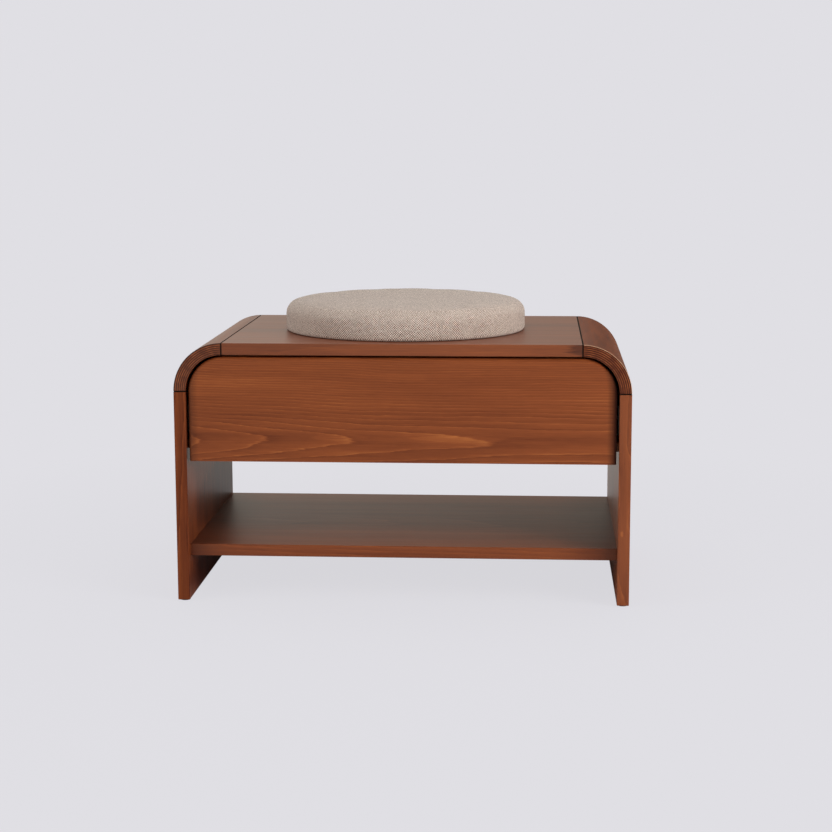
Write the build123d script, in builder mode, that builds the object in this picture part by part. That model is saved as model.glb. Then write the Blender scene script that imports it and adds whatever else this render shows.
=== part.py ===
from build123d import *

import os
from math import copysign, sqrt

os.makedirs("parts", exist_ok=True)

# A storage bench. Millimetres, +Z up, front towards -Y, origin on the floor under the middle.

# Carcass
WIDTH = 720.0  # over both legs
DEPTH = 430.0
SEAT_HEIGHT = 417.0  # floor to the upper face of the top board
BOARD = 19.0  # legs, bent corners and top
CORNER_RADIUS = 77.0  # outer face of the bent corners
ARRIS = 0.8  # chamfer on board edges, two of which make the V-groove at a joint

# Foot glides
GLIDE_HEIGHT = 2.0
GLIDE_RADIUS = 8.0
GLIDE_INSET = 13.0  # glide centre from the front or back edge of a leg

# Shelf
SHELF_TOP = 90.0  # floor to its upper face
SHELF_BOARD = 19.0
SHELF_SETBACK = 18.0  # behind the front edges of the legs

# Drawer bay
FINGER_LIP = 17.0  # drawer front hangs this far below the bay floor, as a pull
FLOOR_BOARD = 15.0
FLOOR_GAP = 2.0  # between the drawer front and the bay floor's front edge
BACK_BOARD = 15.0
BACK_RECESS = 1.5
BACK_FIT = 0.4

# Drawer front
FRONT_HEIGHT = 166.5
FRONT_BOARD = 19.0
FRONT_RECESS = 1.5
FRONT_SIDE_GAP = 3.8
FRONT_TOP_GAP = 3.2
FRONT_RADIUS_LESS = 2.0  # its corner radius under the inner radius of the bent corners
FRONT_EDGE = 6.0  # roundover of its face at the sides and top

# Drawer box
REAR_GAP = 43.0  # between the box and the back panel
BOX_BOARD = 12.0
BOX_TOP_GAP = 40.0  # below the top board
BOX_FLOOR_GAP = 6.0
BOTTOM_BOARD = 6.0
GROOVE_LIFT = 10.0  # groove for the bottom, above the lower edge of the box
GROOVE_DEPTH = 5.0
GROOVE_FIT = 0.2

# Ball-bearing runners, measured from the face of the leg to the side of the box
RAIL_SPACE = 12.7
RAIL_HEIGHT = 45.7
RAIL_LIFT = 6.0  # rail above the lower edge of the box
RAIL_INSET = 1.0  # rail ends inside the ends of the box
RAIL_SHEET = 1.2
RAIL_BEND = 0.6  # inside of a fold
RAIL_GAP = 0.3  # between webs that pass each other
OUTER_TIP_GAP = 3.2  # flange tips to the side of the box
MIDDLE_TIP_GAP = 1.7
CAGE_SHEET = 0.8
CAGE_LENGTH = 150.0
CAGE_TIP_STEP = 0.9  # outer cage ends inside the outer rail's flange tips
BALL_RADIUS = 1.3
BALL_FIT = 0.2
BALL_COUNT = 3  # in each row
BALL_SIDES = 8
BALL_EDGE = 12.0  # first ball from the end of its cage

# Joinery
TONGUE_THICKNESS = 5.0  # loose tongues between legs, corners and top
TONGUE_WIDTH = 20.0
TONGUE_SETBACK = 30.0  # tongue ends inside the front and back edges
TONGUE_FIT = 0.1
HOUSING = 6.0  # shelf and bay floor sunk in the legs
BACK_HOUSING = 5.0  # back panel sunk in the legs and the bay floor
BACK_SHOULDER = 12.0  # housed edge of the back panel stops below the bent corners
HOUSING_FIT = 0.2
BOX_REBATE = 5.0  # front and back of the box let into its sides

# Screws
SCREW_FIT = 0.1
SCREW_END = 1.0  # hole past the point of a screw
RAIL_SCREW_RADIUS = 1.75
RAIL_SCREW_LENGTH = 11.0
RAIL_SCREW_EDGE = 32.0  # first screw from the end of a rail
RAIL_SCREWS = 2  # on each rail
RAIL_HEAD_RADIUS = 3.2
RAIL_HEAD_HEIGHT = 1.6
HEAD_GAP = 0.6  # between a screw head and the outer cage
FRONT_SCREW_RADIUS = 2.0
FRONT_SCREW_LENGTH = 25.0
FRONT_SCREW_SPREAD = 420.0
FRONT_HEAD_RADIUS = 4.0
FRONT_HEAD_HEIGHT = 2.2
HEAD_TAPER = 25.0  # slope of a pan head's rim, in degrees
SCREW_SIDES = 12

# Cushion
CUSHION_DIAMETER = 400.0
CUSHION_HEIGHT = 55.0  # at the middle of its crown
CUSHION_X = -8.0  # it lies a little off the middle of the top
CUSHION_Y = 8.0
CUSHION_CROWN = 4.0
CUSHION_BULGE = 2.5  # band between its two drawn-in seams
CUSHION_TURN = 9.0  # rounding of its upper and lower edges
COVER_SHEET = 1.5
SEAM_FIT = 0.1
FOAM_FIT = 0.3

# Faces and lines of the carcass
half_width = WIDTH / 2
bay_half = half_width - BOARD
board_mid = half_width - BOARD / 2
front_face = -DEPTH / 2
back_face = DEPTH / 2
corner_x = half_width - CORNER_RADIUS
corner_low = SEAT_HEIGHT - CORNER_RADIUS
inner_radius = CORNER_RADIUS - BOARD
ceiling = SEAT_HEIGHT - BOARD
top_mid = SEAT_HEIGHT - BOARD / 2
shelf_low = SHELF_TOP - SHELF_BOARD
shelf_mid = SHELF_TOP - SHELF_BOARD / 2
shelf_front = front_face + SHELF_SETBACK
shelf_centre = (shelf_front + back_face) / 2
tongue_length = DEPTH - 2 * TONGUE_SETBACK

# Faces and lines of the drawer and its bay
front_high = ceiling - FRONT_TOP_GAP
front_low = front_high - FRONT_HEIGHT
front_y = front_face + FRONT_RECESS
box_front = front_y + FRONT_BOARD
floor_front = box_front + FLOOR_GAP
floor_low = front_low + FINGER_LIP
floor_top = floor_low + FLOOR_BOARD
floor_mid = floor_low + FLOOR_BOARD / 2
floor_centre = (floor_front + back_face) / 2
back_front = back_face - BACK_RECESS - BACK_BOARD
back_mid = back_front + BACK_BOARD / 2
back_low = floor_top - BACK_HOUSING
back_shoulder = corner_low - BACK_SHOULDER
box_back = back_front - REAR_GAP
box_half = bay_half - RAIL_SPACE
box_inner = box_half - BOX_BOARD
box_low = floor_top + BOX_FLOOR_GAP
box_high = ceiling - BOX_TOP_GAP
box_mid = (box_low + box_high) / 2
box_centre = (box_front + box_back) / 2
box_end_rows = (box_front + BOX_BOARD / 2, box_back - BOX_BOARD / 2)
groove_low = box_low + GROOVE_LIFT
groove_high = groove_low + BOTTOM_BOARD + GROOVE_FIT

# Sections of the runners: u is the distance from the face of the leg, heights are overall
rail_front = box_front + RAIL_INSET
rail_back = box_back - RAIL_INSET
rail_mid = (rail_front + rail_back) / 2
rail_z = box_low + RAIL_LIFT + RAIL_HEIGHT / 2
raceway = 2 * (BALL_RADIUS + BALL_FIT)
cage_fold = RAIL_BEND + CAGE_SHEET
middle_height = RAIL_HEIGHT - 2 * (RAIL_SHEET + raceway)
inner_height = middle_height - 2 * (RAIL_SHEET + raceway)
outer_cage_height = RAIL_HEIGHT - 2 * RAIL_SHEET - raceway + CAGE_SHEET
inner_cage_height = middle_height - 2 * RAIL_SHEET - raceway + CAGE_SHEET
outer_cage_web = RAIL_SHEET + RAIL_HEAD_HEIGHT + HEAD_GAP
middle_web = outer_cage_web + CAGE_SHEET + RAIL_GAP
inner_cage_web = middle_web + RAIL_SHEET + RAIL_GAP
inner_tip = inner_cage_web + CAGE_SHEET + RAIL_GAP
outer_tip = RAIL_SPACE - OUTER_TIP_GAP
middle_tip = RAIL_SPACE - MIDDLE_TIP_GAP
outer_cage_tip = outer_tip - CAGE_TIP_STEP
outer_ball_u = (outer_cage_web + cage_fold + outer_cage_tip) / 2
inner_ball_u = (inner_cage_web + cage_fold + middle_tip) / 2
outer_ball_rise = RAIL_HEIGHT / 2 - RAIL_SHEET - raceway / 2
inner_ball_rise = middle_height / 2 - RAIL_SHEET - raceway / 2

SIDES = (("left", -1), ("right", 1))


def spread(first, last, count):
    """Evenly spaced positions from first to last."""
    step = (last - first) / (count - 1)
    return [first + i * step for i in range(count)]


# Where the rail screws and the balls stand along the rails
screw_rows = spread(rail_front + RAIL_SCREW_EDGE, rail_back - RAIL_SCREW_EDGE, RAIL_SCREWS)
rail_points = [(y, rail_z) for y in screw_rows]
ball_reach = CAGE_LENGTH / 2 - BALL_EDGE
ball_rows = spread(rail_mid - ball_reach, rail_mid + ball_reach, BALL_COUNT)
rail_screw_hole = RAIL_SCREW_RADIUS + SCREW_FIT
front_screw_hole = FRONT_SCREW_RADIUS + SCREW_FIT


def across(x, points, facing):
    """Planes at (y, z) points on a face square to X, looking along facing."""
    return [Plane(origin=(x, y, z), z_dir=(facing, 0, 0)) for y, z in points]


def section(y):
    """An upright plane across the bench at y, seen from the front."""
    return Plane.XZ.offset(-y)


def channel(side, web, tip, height, sheet):
    """Section of a strip folded to a channel, from the back of its web to its flange tips."""
    reach = abs(tip - web)
    beyond = tip + copysign(reach / 2, tip - web)
    with Locations((side * (bay_half - tip), rail_z)):
        RectangleRounded(2 * reach, height, RAIL_BEND + sheet)
        RectangleRounded(2 * (reach - sheet), height - 2 * sheet, RAIL_BEND, mode=Mode.SUBTRACT)
    with Locations((side * (bay_half - beyond), rail_z)):
        Rectangle(reach, height, mode=Mode.SUBTRACT)


def pan_screw(radius, length, head_radius, head_height):
    """One screw, head up, bearing on the plane through the origin, with few sides and no thread."""
    with BuildPart() as screw:
        with BuildSketch():
            RegularPolygon(radius, SCREW_SIDES)
        extrude(amount=-length)
        with BuildSketch():
            RegularPolygon(head_radius, SCREW_SIDES)
        extrude(amount=head_height, taper=HEAD_TAPER)
    return screw.part


def tongue(x, z, thick_x, thick_z, fit, mode=Mode.ADD):
    """A loose tongue across a joint at (x, z), or with a fit and Mode.SUBTRACT the slot for it."""
    with Locations((x, 0, z)):
        Box(thick_x + 2 * fit, tongue_length + 2 * fit, thick_z + 2 * fit, mode=mode)


# Legs: boards on edge, slotted above for tongues and housed inside for the shelf, floor and back
for name, side in SIDES:
    with BuildPart() as leg:
        with BuildSketch(Plane.XY.offset(GLIDE_HEIGHT)):
            with Locations((side * board_mid, 0)):
                Rectangle(BOARD, DEPTH)
        extrude(amount=corner_low - GLIDE_HEIGHT)
        chamfer(leg.edges(), ARRIS)
        tongue(side * board_mid, corner_low, TONGUE_THICKNESS, TONGUE_WIDTH, TONGUE_FIT, Mode.SUBTRACT)
        with Locations((side * bay_half, shelf_centre, shelf_mid)):
            Box(2 * (HOUSING + HOUSING_FIT), back_face - shelf_front, SHELF_BOARD, mode=Mode.SUBTRACT)
        with Locations((side * bay_half, floor_centre, floor_mid)):
            Box(2 * (HOUSING + HOUSING_FIT), back_face - floor_front, FLOOR_BOARD, mode=Mode.SUBTRACT)
        with Locations((side * bay_half, back_mid, (back_low + back_shoulder) / 2)):
            Box(2 * (BACK_HOUSING + HOUSING_FIT), BACK_BOARD, back_shoulder - back_low, mode=Mode.SUBTRACT)
        with Locations(*across(side * bay_half, rail_points, -side)):
            Hole(rail_screw_hole, RAIL_SCREW_LENGTH - RAIL_SHEET + SCREW_END)
    leg.part.label = f"{name}_leg"
    export_step(leg.part, f"parts/{name}_leg.step")

# Bent corners: quarter rounds of laminated veneer
for name, side in SIDES:
    with BuildPart() as corner:
        with BuildSketch(section(front_face)):
            with BuildLine():
                first_angle = 45 - side * 45
                outer_arc = CenterArc((side * corner_x, corner_low), CORNER_RADIUS, first_angle, 90)
                inner_arc = CenterArc((side * corner_x, corner_low), inner_radius, first_angle, 90)
                Line(outer_arc @ 0, inner_arc @ 0)
                Line(outer_arc @ 1, inner_arc @ 1)
            make_face()
        extrude(amount=-DEPTH)
        chamfer(corner.edges(), ARRIS)
        tongue(side * board_mid, corner_low, TONGUE_THICKNESS, TONGUE_WIDTH, TONGUE_FIT, Mode.SUBTRACT)
        tongue(side * corner_x, top_mid, TONGUE_WIDTH, TONGUE_THICKNESS, TONGUE_FIT, Mode.SUBTRACT)
    corner.part.label = f"{name}_corner"
    export_step(corner.part, f"parts/{name}_corner.step")

# Top board, butted between the bent corners
with BuildPart() as top_board:
    with BuildSketch(Plane.XY.offset(ceiling)):
        Rectangle(2 * corner_x, DEPTH)
    extrude(amount=BOARD)
    chamfer(top_board.edges(), ARRIS)
    for name, side in SIDES:
        tongue(side * corner_x, top_mid, TONGUE_WIDTH, TONGUE_THICKNESS, TONGUE_FIT, Mode.SUBTRACT)
top_board.part.label = "top_board"
export_step(top_board.part, "parts/top_board.step")

# Loose tongues glued across the four long joints
with BuildPart() as leg_tongues:
    for name, side in SIDES:
        tongue(side * board_mid, corner_low, TONGUE_THICKNESS, TONGUE_WIDTH, 0)
leg_tongues.part.label = "leg_tongues"
export_step(leg_tongues.part, "parts/leg_tongues.step")

with BuildPart() as top_tongues:
    for name, side in SIDES:
        tongue(side * corner_x, top_mid, TONGUE_WIDTH, TONGUE_THICKNESS, 0)
top_tongues.part.label = "top_tongues"
export_step(top_tongues.part, "parts/top_tongues.step")

# Shelf, housed in the legs and flush with them at the back
with BuildPart() as shelf:
    with BuildSketch(Plane.XY.offset(shelf_low)):
        with Locations((0, shelf_centre)):
            Rectangle(2 * (bay_half + HOUSING), back_face - shelf_front)
    extrude(amount=SHELF_BOARD)
    chamfer(shelf.edges().filter_by(Axis.X), ARRIS)
shelf.part.label = "shelf"
export_step(shelf.part, "parts/shelf.step")

# Bay floor, which closes the drawer bay behind the drawer front's lower lip
with BuildPart() as bay_floor:
    with BuildSketch(Plane.XY.offset(floor_low)):
        with Locations((0, floor_centre)):
            Rectangle(2 * (bay_half + HOUSING), back_face - floor_front)
    extrude(amount=FLOOR_BOARD)
    chamfer(bay_floor.edges().filter_by(Axis.X), ARRIS)
    with Locations((0, back_mid, floor_top)):
        Box(2 * (bay_half + HOUSING), BACK_BOARD, 2 * BACK_HOUSING, mode=Mode.SUBTRACT)
bay_floor.part.label = "bay_floor"
export_step(bay_floor.part, "parts/bay_floor.step")

# Back panel, housed in the bay floor and legs inside the arch of the bent corners and top
with BuildPart() as back_panel:
    with BuildSketch(section(back_front)) as back_outline:
        with Locations((0, (back_low + ceiling - BACK_FIT) / 2)):
            Rectangle(2 * (bay_half - BACK_FIT), ceiling - BACK_FIT - back_low)
        fillet(back_outline.vertices().group_by(Axis.Y)[-1], inner_radius)
        with Locations((0, (back_low + back_shoulder - HOUSING_FIT) / 2)):
            Rectangle(2 * (bay_half + BACK_HOUSING), back_shoulder - HOUSING_FIT - back_low)
    extrude(amount=-BACK_BOARD)
back_panel.part.label = "back_panel"
export_step(back_panel.part, "parts/back_panel.step")

# Foot glides, plain discs under the ends of the legs
glide_points = [
    (side * board_mid, end * (DEPTH / 2 - GLIDE_INSET)) for name, side in SIDES for end in (-1, 1)
]
with BuildPart() as foot_glides:
    with Locations(*[(x, y, 0) for x, y in glide_points]):
        Cylinder(GLIDE_RADIUS, GLIDE_HEIGHT, align=(Align.CENTER, Align.CENTER, Align.MIN))
foot_glides.part.label = "foot_glides"
export_step(foot_glides.part, "parts/foot_glides.step")

# Drawer front: one board with its upper corners rounded inside the bent corners
front_screw_planes = [
    Plane((side * FRONT_SCREW_SPREAD / 2, box_front + BOX_BOARD, box_mid), z_dir=(0, 1, 0))
    for name, side in SIDES
]
with BuildPart() as drawer_front:
    with BuildSketch(section(front_y)) as front_outline:
        with Locations((0, (front_low + front_high) / 2)):
            Rectangle(2 * (bay_half - FRONT_SIDE_GAP), FRONT_HEIGHT)
        fillet(front_outline.vertices().group_by(Axis.Y)[-1], inner_radius - FRONT_RADIUS_LESS)
    extrude(amount=-FRONT_BOARD)
    face_edges = drawer_front.faces().sort_by(Axis.Y)[0].edges().sort_by(Axis.Z)
    fillet(face_edges[1:], FRONT_EDGE)
    chamfer(drawer_front.faces().sort_by(Axis.Y)[-1].edges(), ARRIS)
    with Locations(*front_screw_planes):
        Hole(front_screw_hole, FRONT_SCREW_LENGTH + SCREW_END)
drawer_front.part.label = "drawer_front"
export_step(drawer_front.part, "parts/drawer_front.step")

# Drawer box: sides rebated at both ends for the front and back
for name, side in SIDES:
    with BuildPart() as box_side:
        with BuildSketch(Plane.XY.offset(box_low)):
            with Locations((side * (box_half - BOX_BOARD / 2), box_centre)):
                Rectangle(BOX_BOARD, box_back - box_front)
        extrude(amount=box_high - box_low)
        chamfer(box_side.edges().filter_by(Axis.Y).group_by(Axis.Z)[-1], ARRIS)
        with Locations((side * box_inner, box_centre, (groove_low + groove_high) / 2)):
            Box(2 * GROOVE_DEPTH, box_back - box_front, groove_high - groove_low, mode=Mode.SUBTRACT)
        with Locations(*[(side * box_inner, y, box_mid) for y in box_end_rows]):
            Box(2 * BOX_REBATE, BOX_BOARD, box_high - box_low, mode=Mode.SUBTRACT)
        with Locations(*across(side * box_half, rail_points, side)):
            Hole(rail_screw_hole, RAIL_SCREW_LENGTH - RAIL_SHEET)
    box_side.part.label = f"drawer_{name}_side"
    export_step(box_side.part, f"parts/drawer_{name}_side.step")

for name, end_y, inward in (("drawer_box_front", box_front, 1), ("drawer_back", box_back, -1)):
    with BuildPart() as box_end:
        with BuildSketch(Plane.XY.offset(box_low)):
            with Locations((0, end_y + inward * BOX_BOARD / 2)):
                Rectangle(2 * (box_inner + BOX_REBATE), BOX_BOARD)
        extrude(amount=box_high - box_low)
        chamfer(box_end.edges().filter_by(Axis.X).group_by(Axis.Z)[-1], ARRIS)
        with Locations((0, end_y + inward * BOX_BOARD, (groove_low + groove_high) / 2)):
            Box(2 * (box_inner + BOX_REBATE), 2 * GROOVE_DEPTH, groove_high - groove_low, mode=Mode.SUBTRACT)
        if name == "drawer_box_front":
            with Locations(*front_screw_planes):
                Hole(front_screw_hole)
    box_end.part.label = name
    export_step(box_end.part, f"parts/{name}.step")

# Drawer bottom, held in the grooves all round
with BuildPart() as drawer_bottom:
    with BuildSketch(Plane.XY.offset(groove_low)):
        with Locations((0, box_centre)):
            Rectangle(
                2 * (box_inner + GROOVE_DEPTH - GROOVE_FIT),
                box_back - box_front - 2 * (BOX_BOARD - GROOVE_DEPTH + GROOVE_FIT),
            )
    extrude(amount=BOTTOM_BOARD)
drawer_bottom.part.label = "drawer_bottom"
export_step(drawer_bottom.part, "parts/drawer_bottom.step")

# Screws through the box into the drawer front
front_screw = pan_screw(FRONT_SCREW_RADIUS, FRONT_SCREW_LENGTH, FRONT_HEAD_RADIUS, FRONT_HEAD_HEIGHT)
with BuildPart() as front_screws:
    with Locations(*front_screw_planes):
        add(front_screw)
front_screws.part.label = "front_screws"
export_step(front_screws.part, "parts/front_screws.step")

# One ball, with the few facets that so small a piece needs
with BuildPart() as ball:
    for plane, mode in ((Plane.XY, Mode.ADD), (Plane.XZ, Mode.INTERSECT), (Plane.YZ, Mode.INTERSECT)):
        with BuildSketch(plane):
            RegularPolygon(BALL_RADIUS, BALL_SIDES, major_radius=False, rotation=180 / BALL_SIDES)
        extrude(amount=BALL_RADIUS, both=True, mode=mode)

# Runners: three rails a side, nested, with a cage of balls in each raceway
for name, side in SIDES:
    leg_planes = across(side * bay_half, rail_points, -side)
    box_planes = across(side * box_half, rail_points, side)

    with BuildPart() as outer_rail:
        with BuildSketch(section(rail_front)):
            channel(side, 0, outer_tip, RAIL_HEIGHT, RAIL_SHEET)
        extrude(amount=rail_front - rail_back)
        with Locations(*leg_planes):
            Hole(rail_screw_hole, 2 * RAIL_SHEET)
    outer_rail.part.label = f"{name}_outer_rail"
    export_step(outer_rail.part, f"parts/{name}_outer_rail.step")

    with BuildPart() as middle_rail:
        with BuildSketch(section(rail_front)):
            channel(side, middle_web, middle_tip, middle_height, RAIL_SHEET)
        extrude(amount=rail_front - rail_back)
    middle_rail.part.label = f"{name}_middle_rail"
    export_step(middle_rail.part, f"parts/{name}_middle_rail.step")

    with BuildPart() as inner_rail:
        with BuildSketch(section(rail_front)):
            channel(side, RAIL_SPACE, inner_tip, inner_height, RAIL_SHEET)
        extrude(amount=rail_front - rail_back)
        with Locations(*box_planes):
            Hole(rail_screw_hole, 2 * RAIL_SHEET)
    inner_rail.part.label = f"{name}_inner_rail"
    export_step(inner_rail.part, f"parts/{name}_inner_rail.step")

    cage_sections = (
        ("outer", outer_cage_web, outer_cage_tip, outer_cage_height, outer_ball_u, outer_ball_rise),
        ("inner", inner_cage_web, middle_tip, inner_cage_height, inner_ball_u, inner_ball_rise),
    )
    for place, web, tip, height, ball_u, rise in cage_sections:
        ball_x = side * (bay_half - ball_u)
        with BuildPart() as cage:
            with BuildSketch(section(rail_mid - CAGE_LENGTH / 2)):
                channel(side, web, tip, height, CAGE_SHEET)
            extrude(amount=-CAGE_LENGTH)
            with Locations(*[(ball_x, y, rail_z) for y in ball_rows]):
                Box(raceway, raceway, RAIL_HEIGHT, mode=Mode.SUBTRACT)
        cage.part.label = f"{name}_{place}_cage"
        export_step(cage.part, f"parts/{name}_{place}_cage.step")

        with BuildPart() as balls:
            with Locations(*[(ball_x, y, rail_z + up * rise) for y in ball_rows for up in (-1, 1)]):
                add(ball.part)
        balls.part.label = f"{name}_{place}_balls"
        export_step(balls.part, f"parts/{name}_{place}_balls.step")

rail_screw = pan_screw(RAIL_SCREW_RADIUS, RAIL_SCREW_LENGTH, RAIL_HEAD_RADIUS, RAIL_HEAD_HEIGHT)
leg_screw_planes = []
box_screw_planes = []
for name, side in SIDES:
    leg_screw_planes += [plane.offset(RAIL_SHEET) for plane in across(side * bay_half, rail_points, -side)]
    box_screw_planes += [plane.offset(RAIL_SHEET) for plane in across(side * box_half, rail_points, side)]
with BuildPart() as leg_rail_screws:
    with Locations(*leg_screw_planes):
        add(rail_screw)
leg_rail_screws.part.label = "leg_rail_screws"
export_step(leg_rail_screws.part, "parts/leg_rail_screws.step")

with BuildPart() as drawer_rail_screws:
    with Locations(*box_screw_planes):
        add(rail_screw)
drawer_rail_screws.part.label = "drawer_rail_screws"
export_step(drawer_rail_screws.part, "parts/drawer_rail_screws.step")


# Cushion: a crowned round pad with a bulged band, drawn in at its upper and lower seams
cushion_plane = Plane((CUSHION_X, CUSHION_Y, SEAT_HEIGHT), x_dir=(1, 0, 0), z_dir=(0, -1, 0))
cushion_axis = Axis((CUSHION_X, CUSHION_Y, 0), (0, 0, 1))
base_radius = CUSHION_DIAMETER / 2 - CUSHION_BULGE - CUSHION_TURN


def cushion_outline(inset, rounded):
    """Half section inside the outer face: a cut foam block, or rounded, bulged and crowned over it."""
    turn = CUSHION_TURN - inset
    half_turn = turn * (1 - sqrt(0.5))
    band = CUSHION_DIAMETER / 2 - CUSHION_BULGE - inset
    high = CUSHION_HEIGHT - inset
    shoulder = high - CUSHION_CROWN
    cut_block = [
        (0, inset),
        (band - turn, inset),
        (band, inset + turn),
        (band, shoulder - turn),
        (band - turn, shoulder),
        (0, shoulder),
    ]
    if not rounded:
        return cut_block
    return [
        *cut_block[:2],
        (band - half_turn, inset + half_turn),
        cut_block[2],
        (band + CUSHION_BULGE, (inset + shoulder) / 2),
        cut_block[3],
        (band - half_turn, shoulder - half_turn),
        cut_block[4],
        (band / 2, high - CUSHION_CROWN / 4),
        (0, high),
    ]


with BuildPart() as cushion_cover:
    with BuildSketch(cushion_plane):
        for inset, mode in ((0, Mode.ADD), (COVER_SHEET, Mode.SUBTRACT)):
            with BuildLine():
                Polyline(*cushion_outline(inset, mode == Mode.ADD), close=True)
            make_face(mode=mode)
        Rectangle(2 * base_radius, 2 * COVER_SHEET, mode=Mode.SUBTRACT)
    revolve(axis=cushion_axis)
cushion_cover.part.label = "cushion_cover"
export_step(cushion_cover.part, "parts/cushion_cover.step")

with BuildPart() as cushion_base:
    with BuildSketch(Plane((CUSHION_X, CUSHION_Y, SEAT_HEIGHT))):
        Circle(base_radius - SEAM_FIT)
    extrude(amount=COVER_SHEET)
cushion_base.part.label = "cushion_base"
export_step(cushion_base.part, "parts/cushion_base.step")

with BuildPart() as cushion_foam:
    with BuildSketch(cushion_plane):
        with BuildLine():
            Polyline(*cushion_outline(COVER_SHEET + FOAM_FIT, False), close=True)
        make_face()
    revolve(axis=cushion_axis)
cushion_foam.part.label = "cushion_foam"
export_step(cushion_foam.part, "parts/cushion_foam.step")
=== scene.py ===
from math import atan2, cos, pi, sin

import bmesh
import bpy
from mathutils import Matrix, Vector


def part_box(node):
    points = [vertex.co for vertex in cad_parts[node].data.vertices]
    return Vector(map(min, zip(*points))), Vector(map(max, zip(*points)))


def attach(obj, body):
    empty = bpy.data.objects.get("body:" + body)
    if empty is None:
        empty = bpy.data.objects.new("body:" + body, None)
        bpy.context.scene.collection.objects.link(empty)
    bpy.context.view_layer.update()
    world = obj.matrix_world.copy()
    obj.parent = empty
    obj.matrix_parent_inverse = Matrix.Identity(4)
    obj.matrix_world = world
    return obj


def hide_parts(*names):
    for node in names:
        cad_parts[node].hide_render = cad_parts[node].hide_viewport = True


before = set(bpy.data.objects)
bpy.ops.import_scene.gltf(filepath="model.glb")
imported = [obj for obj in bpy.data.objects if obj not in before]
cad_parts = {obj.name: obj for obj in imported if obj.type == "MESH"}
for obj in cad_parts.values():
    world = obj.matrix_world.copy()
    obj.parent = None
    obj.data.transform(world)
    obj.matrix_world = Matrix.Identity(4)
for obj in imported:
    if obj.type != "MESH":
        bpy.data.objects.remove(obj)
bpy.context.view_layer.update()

# Legs: two upright boards of solid softwood with the grain standing, planed and arrissed.
# They are brushed with a red-brown stain and sprayed with satin lacquer, and the stain
# gathers in the V-grooves where they meet the bent corners.
BOARD = 0.019
CORNER_LOW = 0.340
GROOVE = 0.0012
WANDER = 0.020
RAGGED = 1.5
FADE = 0.2
STAIN_DEEP = "#43180C"
STAIN_DARK = "#673018"
STAIN_MID = "#8A4724"
STAIN_PALE = "#AE6534"
STAIN_GROOVE = "#120806"
LACQUER = "#FFEEDD"


def linear(hex_colour):
    """An sRGB hex colour as linear RGBA."""
    channels = [int(hex_colour[i:i + 2], 16) / 255 for i in (1, 3, 5)]
    return [c / 12.92 if c <= 0.04045 else ((c + 0.055) / 1.055) ** 2.4 for c in channels] + [1.0]


def add(tree, kind, inputs=(), stops=(), **settings):
    """Adds a node with its settings and, for a colour ramp, its stops.

    inputs are in order or by name: values, or the sockets and nodes to link from."""
    node = tree.nodes.new(kind)
    for key, value in settings.items():
        setattr(node, key, value)
    for key, value in inputs.items() if isinstance(inputs, dict) else enumerate(inputs):
        if isinstance(value, bpy.types.Node):
            value = next(output for output in value.outputs if output.enabled)
        if isinstance(value, bpy.types.NodeSocket):
            tree.links.new(value, node.inputs[key])
        else:
            node.inputs[key].default_value = value
    for i, (position, colour) in enumerate(stops):
        elements = node.color_ramp.elements
        element = elements[i] if i < len(elements) else elements.new(position)
        element.position = position
        element.color = colour
    return node


def bare_material(name):
    """A material with an empty node tree."""
    material = bpy.data.materials.new(name)
    material.use_nodes = True
    material.node_tree.nodes.clear()
    return material


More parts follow.
